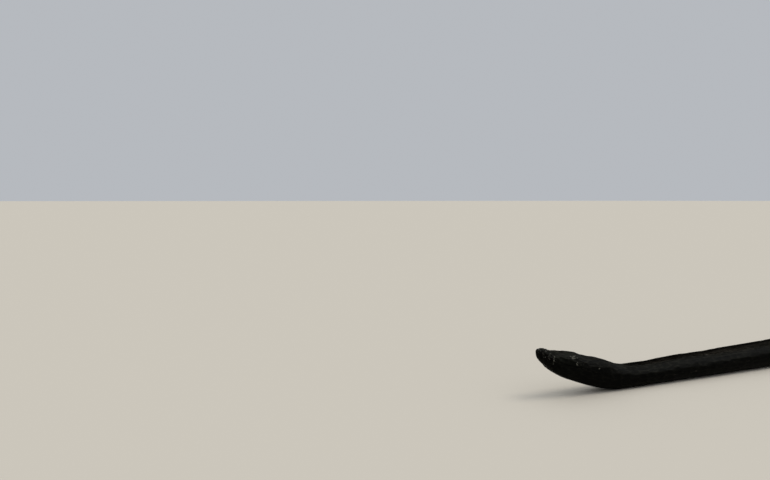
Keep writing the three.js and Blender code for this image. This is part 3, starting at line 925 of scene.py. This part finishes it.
def end_rings(ring, wood, middle, out, seed):
    """Rings from near the middle of a stick's rough end to its rim, and their places in the wood."""
    shares = (0.25, 0.6, 0.93)
    rings = []
    for share in shares:
        rough = MM * (1.5 * (1 - share) + 1.1 * noise(ring * 300 * share, seed))
        rings.append(middle + (ring - middle) * share + out * rough[:, None])
    return np.array(rings), np.array([wood * (1, share, share) for share in shares])


def make_stick(
    name, start, end, radii, seed, held=(), crook=(0, 0), knots=2, sides=22, spacing=0.014, swell=0.0
):
    """A natural pole: straight where it is held, a little crooked elsewhere, with knots and hewn ends.

    `crook` is how far it strays sideways and up or down, in millimetres, and `swell` is how far its far end
    is hammered out.
    """
    start, end = np.array(start, float), np.array(end, float)
    along, across, other = axes_of(start, end)
    length = np.linalg.norm(end - start)
    at = np.linspace(0, length, int(length / spacing) + 2)[:, None]
    free = np.ones(at.shape)
    for place in held:
        free = free * (1 - np.exp(-(((at - place) / 0.16) ** 2)))
    stray = [MM * size * free * noise_along(at * 1.9, seed + k) for k, size in enumerate(crook)]
    line = start + at * along + stray[0] * across + stray[1] * other
    MIDDLES[name] = line
    theta = circle(sides)[None] + 0 * at
    radius, knot = stick_radius(at, theta, length, radii, seed, knots, swell)
    body = line[:, None] + radius[..., None] * spokes(theta, across, other)
    wood = np.stack([at + 0 * theta, radius * np.cos(theta), radius * np.sin(theta)], axis=-1)
    near, near_wood = end_rings(body[0], wood[0], line[0], -along, seed + 8)
    far, far_wood = end_rings(body[-1], wood[-1], line[-1], along, seed + 8)
    points, faces = lofted(np.concatenate([near, body, far[::-1]]))
    wood = np.concatenate([near_wood, wood, far_wood[::-1]])
    ends = ((len(near), len(far)), (0, 0))
    return make_object(name, points, faces, {
        "wood": with_ends(wood) + (3.1 * (seed % 13), 0, 0),
        "end": with_ends(np.pad(0 * theta, ends, constant_values=1)),
        "knot": with_ends(np.pad(knot, ends)),
    })


def make_poles():
    wood, cut, sooty = map(timber_material, ("weathered_pole", "split_peg", "sooty_stick"))

    def put(node, ends, radii, seed, material=wood, slot="pole_wood", kind="stick", **shape):
        dress(make_stick(f"{node}_{kind}", *ends, radii, seed, **shape), material, slot, node)

    for k, place in enumerate(("fore", "aft")):
        boom, key = f"boom_{place}", f"key_bar_{place}"
        ends = lengthwise(boom, 1)
        held = [y - ends[0].y for y in (-KEY_LASHING_Y, -GUNWALE_Y, GUNWALE_Y, KEY_LASHING_Y, FLOAT_Y)]
        put(boom, ends, BOOM_RADII, 100 + k, kind="pole", held=held, crook=(14, 2), knots=6, sides=28)
        put(key, lengthwise(key, 1), (KEY_RADIUS,) * 2, 110 + k, spacing=0.009)
        for number in range(1, 5):
            peg, shape = f"peg_{place}_{number}", {"crook": (1, 1), "spacing": 0.008, "swell": 0.14}
            put(peg, peg_ends(peg), PEG_RADII, 130 + 10 * k + number, cut, "peg_wood", **shape)
    for number in (1, 2):
        node, radii = f"spreader_{number}", (SPREADER_RADIUS,) * 2
        put(node, lengthwise(node, 1), radii, 120 + number, sooty, "peg_wood", spacing=0.009)
    for number in range(1, DECK_POLES + 1):
        node = f"deck_pole_{number}"
        ends = deck_pole_ends(node)
        held = [centre(f"boom_{place}").x - ends[0][0] for place in ("aft", "fore")]
        put(node, ends, DECK_RADII, 150 + 9 * number, held=held, crook=(12, 6), knots=5)


# Float

# Columns, in millimetres: aft of the float's fore tip, keel, top, half breadth
FLOAT_ROWS = MM * np.array([
    [0, 96, 128, 16],
    [70, 62, 131, 31],
    [200, 30, 130, 44],
    [400, 8, 125, 54],
    [640, 0, 122, 59],
    [1370, 0, 123, 61],
    [2100, 0, 124, 62],
    [2830, 0, 122, 60],
    [3560, 0, 120, 58],
    [3860, 10, 118, 50],
    [4080, 34, 116, 36],
    [4200, 60, 112, 18],
])

# Columns: aft of the fore tip where each crack starts and ends, share of the way round from the bottom by
# port, half width and depth in millimetres
FLOAT_CRACKS = [
    (0.01, 0.95, 0.46, 1.9, 16),
    (0.55, 1.75, 0.33, 1.5, 13),
    (2.30, 3.60, 0.56, 1.7, 15),
    (3.05, 4.17, 0.40, 1.9, 16),
    (1.60, 2.55, 0.70, 1.4, 12),
]


FLOAT_SIDES = 52
FLOAT_MARKS, FLOAT_MARK = (0.085, 0.040), 2.2 * MM  # an adze mark's length and width, and its depth


def float_rings(aft):
    """Sections of the log at places aft of its fore tip, with its tool marks."""
    keel, top, half = (column(FLOAT_ROWS, index)(aft) for index in (1, 2, 3))
    angle = circle(FLOAT_SIDES)[None]
    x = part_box("float")[1].x - aft + 0 * angle
    z = (keel + top) / 2 - (top - keel) / 2 * np.cos(angle)
    rings = np.stack([x, FLOAT_Y + half * np.sin(angle), z], axis=-1)
    depth = FLOAT_MARK * (dishes(x, angle * 0.06 + 0 * x, FLOAT_MARKS, 211)[0] - 0.4)
    return moved_out(rings, depth + lumps(rings, (3.2, (2.4, 12, 12), 213), (0.7, (16, 80, 80), 215)))


def make_float():
    aft = np.concatenate([np.arange(0, 0.2, 0.008), np.arange(0.2, 4.0, 0.014), np.linspace(4.0, 4.2, 26)])
    rings = float_rings(aft[:, None])
    cutters = []
    for number, (start, end, share, width, drop) in enumerate(FLOAT_CRACKS):
        place, seed = share * FLOAT_SIDES, 230 + 3 * number
        cutters.append(crack(rings, *nearest(aft, start, end), place, width * MM, drop * MM, seed))
    for place, number in product(("fore", "aft"), range(1, 5)):
        butt, tip = peg_ends(f"peg_{place}_{number}")
        along = unit(tip - butt)
        cutters.append(rod_cutter(butt - along * 0.4 * MM, butt + along * 0.12, 12 * MM, 20))
    kept = {"cut": np.zeros(rings.shape[:2])}
    make_log("float_log", "float", rings, kept, (221, 223), cutters, float_material())


# Seats

SEAT_MARKS, SEAT_MARK = (0.036, 0.050), 2 * MM  # an adze mark's length and width, and its depth
SEAT_EDGE = 14 * MM  # how far in from its fore and aft edges a seat is rounded
SEAT_WEAR = 2.5 * MM  # how deep its middle is worn


def make_seats():
    material = timber_material("hewn_plank")
    for number in (1, 2):
        node = f"seat_{number}"
        low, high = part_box(node)
        points, faces = lofted(plank_rings(low, high, 300 + 10 * number))
        plank = make_object(f"{node}_plank", points, faces)
        tie_low, tie_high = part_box(f"seat_tie_{number}_port")
        holes = []
        for side in (-1, 1):
            inner, outer = sorted((side * (tie_low.y - 0.5 * MM), side * (tie_low.y + 7.5 * MM)))
            hole = (tie_low.x - MM, inner, low.z - 0.02), (tie_high.x + MM, outer, high.z + 0.02)
            holes.append(box_cutter(*hole))
        cut_away(plank, holes)
        points = points_of(plank.data)
        paint(plank.data, "wood", points[:, (1, 0, 2)] + (5.0 * number, 0.3 * number, 0.2))
        for key in ("end", "knot"):
            paint(plank.data, key, np.zeros(len(points)))
        dress(plank, material, "plank_wood", node)


def plank_rings(low, high, seed):
    """A hewn plank: uneven edges, rounded corners, tool marks and a worn middle on top."""
    half, middle = (high.x - low.x) / 2, (low.x + high.x) / 2
    rings = []
    for x in np.linspace(-half, half, 44):
        edge = max(0, abs(x) - half + SEAT_EDGE) / SEAT_EDGE
        tuck = 7 * MM * (1 - math.sqrt(1 - min(1, edge) ** 2))
        lift = min(0.45 * (high.z - low.z), 0.5 * tuck)
        left, right, bottom, top = low.y + tuck, high.y - tuck, low.z + lift, high.z - lift
        closed = np.array([(left, bottom), (right, bottom), (right, top), (left, top), (left, bottom)])
        edges = [resampled(closed[k:k + 2], n + 1)[:-1] for k, n in enumerate((52, 6, 52, 6))]
        ring = np.concatenate(edges)
        for _ in range(3):
            ring = rounded(ring)
        rings.append(np.concatenate([np.full((len(ring), 1), x + middle), ring], axis=1))
    rings = np.array(rings)
    x, y, z = (rings[..., k] for k in range(3))
    top = ramp(z, high.z - 7 * MM, high.z - 3 * MM)
    off = (x - middle) / 0.07
    worn = SEAT_WEAR * np.exp(-((y / 0.07) ** 2) - off**2)
    rings[..., 2] -= top * (worn + SEAT_MARK * (1 - dishes(x, y, SEAT_MARKS, seed)[0]))
    rings[..., 0] += 2.5 * MM * off / 1.4 * noise(rings * (0, 16, 0) + np.sign(off[..., None]), seed + 2)
    rough = [noise(rings * (30, 12, 30), seed + 3 + k) for k in range(3)]
    return rings + 0.6 * MM * np.stack(rough, axis=-1)


# Lashings

KEY_CORD = 3.3 * MM
FLOAT_CORD = 2.7 * MM
SEAT_CORD = 2.6 * MM
DECK_CORD = 2.2 * MM
LAY = 14  # a strand's turn, in radii of its cord
GROOVE = 0.2  # how much of a cord's radius the grooves between its strands take
PLACES, TURN_POINTS = 240, 110  # places round what a cord is wound on, and its points to a turn
SIDES = ((1, "port"), (-1, "starboard"))


def convex_outline(points):
    """The convex outline of flat points, in order round it."""
    points = sorted(map(tuple, points))

    def half(line):
        chain = []
        for p in line:
            while len(chain) > 1:
                (ax, ay), (bx, by) = chain[-2:]
                if (bx - ax) * (p[1] - ay) - (by - ay) * (p[0] - ax) > 0:
                    break
                chain.pop()
            chain.append(p)
        return chain[:-1]

    return np.array(half(points) + half(points[::-1]))


def oval(across, up, half_width, half_height=None, count=48):
    """Points round an oval, or round a circle where only its radius is given."""
    angle = circle(count)
    tall = half_height or half_width
    return np.stack([across + half_width * np.cos(angle), up + tall * np.sin(angle)], axis=1)


def belt(shapes, turns, pitch, seed, layers=1, start=0.0, lift=0.0):
    """A cord wound tight round flat shapes: its points as across, up and out of their plane."""
    outline = convex_outline(np.concatenate(shapes))
    outline = resampled(np.concatenate([outline, outline[:1]]), PLACES + 1)
    t = np.linspace(0, turns * layers, TURN_POINTS * turns * layers)
    where = ((t + start) % 1) * PLACES
    low = where.astype(int) % PLACES
    flat = outline[low] + (outline[low + 1] - outline[low]) * (where % 1)[:, None]
    away = unit(flat - outline.mean(axis=0))
    layer = np.minimum((t / turns).astype(int), layers - 1)
    sweep = t - layer * turns
    out = np.where(layer % 2 == 0, sweep, turns - sweep) * pitch - turns * pitch / 2
    out = out + 0.10 * pitch * noise_along(t * 3.1, seed)
    rise = lift * ramp(t, turns - 0.15, turns + 0.15) + 0.06 * pitch * noise_along(t * 2.3, seed + 1)
    return np.concatenate([flat + away * rise[:, None], out[:, None]], axis=1)


def closed_loop(points, step, passes):
    """A closed line through given points with its corners rounded off."""
    line = np.concatenate([points, points[:1]])
    line = resampled(line, int(travelled(line)[-1] / step) + 1)[:-1]
    for _ in range(passes):
        line = rounded(line)
    return np.concatenate([line, line[:1]])


def cord_rings(path, radius, sides):
    """Rings of a cord laid up from three strands, its grain, and how deep in a groove each point is."""
    along = travelled(path)[:, None]
    tangents = unit(np.gradient(path, axis=0))
    across = np.empty_like(path)
    side = np.cross(tangents[0], (0.3, 0.5, 0.81))
    for k, tangent in enumerate(tangents):
        side = unit(side - tangent * (side @ tangent))
        across[k] = side
    other = np.cross(tangents, across)
    theta = circle(sides)[None]
    turned = theta - 2 * math.pi * along / (LAY * radius)
    lobe = np.abs(np.cos(1.5 * turned))
    size = radius * (1 - GROOVE + GROOVE * lobe)
    rings = path[:, None] + size[..., None] * spokes(theta, across[:, None], other[:, None])
    wood = np.stack([along + 0 * size, size * np.cos(turned), size * np.sin(turned)], axis=-1)
    return rings, wood, 1 - lobe


def make_cords(name, paths, radius, material, *nodes, sides=12, step=1.1):
    """One piece from several cords that the object holds at both ends."""
    points, faces, woods, grooves = [], [], [], []
    for number, path in enumerate(paths):
        even = resampled(path, int(travelled(path)[-1] / (step * radius)) + 2)
        rings, wood, groove = cord_rings(even, radius, sides)
        some, those = lofted(rings, sum(map(len, points)))
        points.append(some)
        faces += those
        woods.append(with_ends(wood) + (1.7 * number, 0, 0))
        grooves.append(with_ends(groove))
    kept = {"wood": np.concatenate(woods), "groove": np.concatenate(grooves)}
    dress(make_object(name, np.concatenate(points), faces, kept), material, "cord", *nodes)


def make_lashings():
    cord = cord_material()
    for k, place in enumerate(("fore", "aft")):
        boom, key = centre(f"boom_{place}"), centre(f"key_bar_{place}")
        for side, name in SIDES:
            node = f"lashing_{place}_{name}"
            y = centre(node).y
            shapes = [oval(0, 0, boom_radius(y) + KEY_CORD), oval(0, key.z - boom.z, KEY_RADIUS + KEY_CORD)]
            path = belt(shapes, 4, 2.05 * KEY_CORD, 400 + 7 * k + side, layers=2, lift=1.8 * KEY_CORD)
            placed = (boom.x, y, boom.z) + path @ np.array([(1, 0, 0), (0, 0, 1), (0, 1, 0)])
            make_cords(f"{node}_cord", [placed], KEY_CORD, cord, node)
        make_float_lashing(place, boom, cord)
        make_deck_lashing(place, boom, cord)
    make_seat_ties(cord)


def make_float_lashing(place, boom, cord):
    """Cord over the boom and under the crossed pegs, each way, and then round the bundle between them."""
    ends = [peg_ends(f"peg_{place}_{number}") for number in range(1, 5)]
    butt, top = ends[0]
    lean = math.atan2(abs(top[0] - butt[0]), top[2] - butt[2])
    crossing = butt[2] + (top[2] - butt[2]) * (boom.x - butt[0]) / (top[0] - butt[0]) - boom.z
    peg_ys = sorted(butt[1] - FLOAT_Y for butt, _ in ends)
    beside = PEG_RADII[0] + FLOAT_CORD
    apex = crossing - beside / math.sin(lean)
    inner, outer = (peg_ys[1] - peg_ys[0]) / 2 + beside, peg_ys[3] + beside
    step = 1.9 * FLOAT_CORD
    paths = []
    rounds = [((peg_ys[0] + peg_ys[1]) / 2, inner, 0), ((peg_ys[2] + peg_ys[3]) / 2, inner, 0)]
    rounds += [(0, outer, 1), (0, outer + step, 2)]
    for (y, out, level), way in product(rounds, (1, -1)):
        reach = boom_radius(FLOAT_Y + y) + FLOAT_CORD * (1 + 0.4 * level)
        drop = apex - 1.5 * FLOAT_CORD - step * level
        touch = math.asin(reach / -drop)
        angle = np.linspace(-touch, math.pi + touch, 30)
        over = reach + 1.8 * FLOAT_CORD * (way < 0) * ramp(np.sin(angle), 0.25, 0.7)
        run = -out + 2 * out * ramp(angle, 0.05, math.pi - 0.05) + 2.4 * FLOAT_CORD * level * np.sin(angle)
        loop = np.stack([way * over * np.cos(angle), run, over * np.sin(angle)], axis=1)
        under = [(-way * FLOAT_CORD, side * out, drop) for side in (1, -1)]
        loop = closed_loop(np.concatenate([loop, under]), 1.5 * MM, 22)
        paths.append(loop + (boom.x, FLOAT_Y + y, boom.z))
    shapes = [oval(y, 0, beside, 1.15 * beside + 2 * MM) for y in peg_ys]
    shapes += [oval(side * (outer + step), 0, 2 * FLOAT_CORD) for side in (-1, 1)]
    wound = belt(shapes, 3, 2.1 * FLOAT_CORD, 450, start=0.1)
    paths.append((boom.x, FLOAT_Y, boom.z + crossing) + wound @ np.array([(0, 1, 0), (1, 0, 0), (0, 0, 1)]))
    make_cords(f"lashing_{place}_float_cord", paths, FLOAT_CORD, cord, f"lashing_{place}_float")


def make_deck_lashing(place, boom, cord):
    """Cross lashings of the deck poles to one boom."""
    paths = []
    slant = math.sqrt(0.5)
    for number in range(1, DECK_POLES + 1):
        pole = middle_at(f"deck_pole_{number}_stick", 0, boom.x)
        under = middle_at(f"boom_{place}_pole", 1, pole[1])
        span = [end[0] for end in deck_pole_ends(f"deck_pole_{number}")]
        above = np.interp(boom.x, span, DECK_RADII) + DECK_CORD
        below = boom_radius(pole[1]) + DECK_CORD
        for way in (1, -1):
            lift = 1.8 * DECK_CORD * (way < 0)
            shapes = [
                oval(0, pole[2] - under[2], (above + lift) / slant, above + lift),
                oval(0, 0, (below + lift) / slant, below + lift),
            ]
            path = belt(shapes, 3, 2.1 * DECK_CORD, 500 + 10 * number + way, start=0.25)
            turned = np.array([(slant, way * slant, 0), (0, 0, 1), (-way * slant, slant, 0)])
            paths.append(under + path @ turned)
    make_cords(f"deck_lashings_{place}", paths, DECK_CORD, cord, sides=9, step=1.5)


def make_seat_ties(cord):
    """Three turns through each end of a seat and round the gunwale under it."""
    for number, (side, name) in product((1, 2), SIDES):
        node = f"seat_tie_{number}_{name}"
        low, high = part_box(node)
        inner, outer = sorted((abs(low.y), abs(high.y)))
        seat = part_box(f"seat_{number}")[1]
        hole, bottom = inner + 3.5 * MM, low.z + 3.5 * MM
        corners = [(hole, bottom), (outer - 5 * MM, bottom), (seat.y, seat.z), (hole, seat.z)]
        shapes = [oval(*corner, SEAT_CORD, count=16) for corner in corners]
        path = belt(shapes, 3, 2.1 * SEAT_CORD, 600 + 3 * number + side, start=0.1)
        placed = ((low.x + high.x) / 2, 0, 0) + path @ np.array([(0, side, 0), (0, 0, 1), (1, 0, 0)])
        make_cords(f"{node}_cord", [placed], SEAT_CORD, cord, node)


# Floor and light

FLOOR_REACH = 1200
FLOOR_COLOR = (0.51, 0.47, 0.40)
SKY_COLOR = (0.90, 0.94, 1)
SKY_LOW, SKY_HIGH = 0.52, 1.45  # strength near the horizon and overhead
SUN_COLOR = (1, 0.95, 0.88)
SUN_STRENGTH, SUN_SPREAD = 0.9, 28  # the spread in degrees
SUN_WAY = (0.4, -0.25, -1.0)


def make_floor():
    corners = [(FLOOR_REACH * x, FLOOR_REACH * y, 0) for x, y in ((-1, -1), (1, -1), (1, 1), (-1, 1))]
    floor = make_object("floor", corners, [(0, 1, 2, 3)])
    g = Graph(bpy.data.materials.new("plain_floor"))
    floor.data.materials.append(g.finish(Base_Color=FLOOR_COLOR, Roughness=1, Specular_IOR_Level=0))


def make_lights():
    g = Graph(bpy.data.worlds.new("overcast_studio"))
    height = g.add("SeparateXYZ", {"Vector": g.add("TexCoord", output="Generated")}, output="Z")
    levels = {"From Min": 0.3, "From Max": 1.0, "To Min": SKY_LOW, "To Max": SKY_HIGH}
    strength = g.add("MapRange", {"Value": height, **levels})
    sky = g.add("Background", {"Color": SKY_COLOR, "Strength": strength})
    bpy.context.scene.world = g.show("World", sky)
    data = bpy.data.lights.new("soft_key", "SUN")
    data.energy = SUN_STRENGTH
    data.angle = math.radians(SUN_SPREAD)
    data.color = SUN_COLOR
    linked("soft_key", data).rotation_euler = Vector(SUN_WAY).to_track_quat("-Z", "Y").to_euler()
    bpy.context.scene.view_settings.view_transform = "Standard"


make_hull()
make_float()
make_poles()
make_seats()
make_lashings()
make_floor()
make_lights()
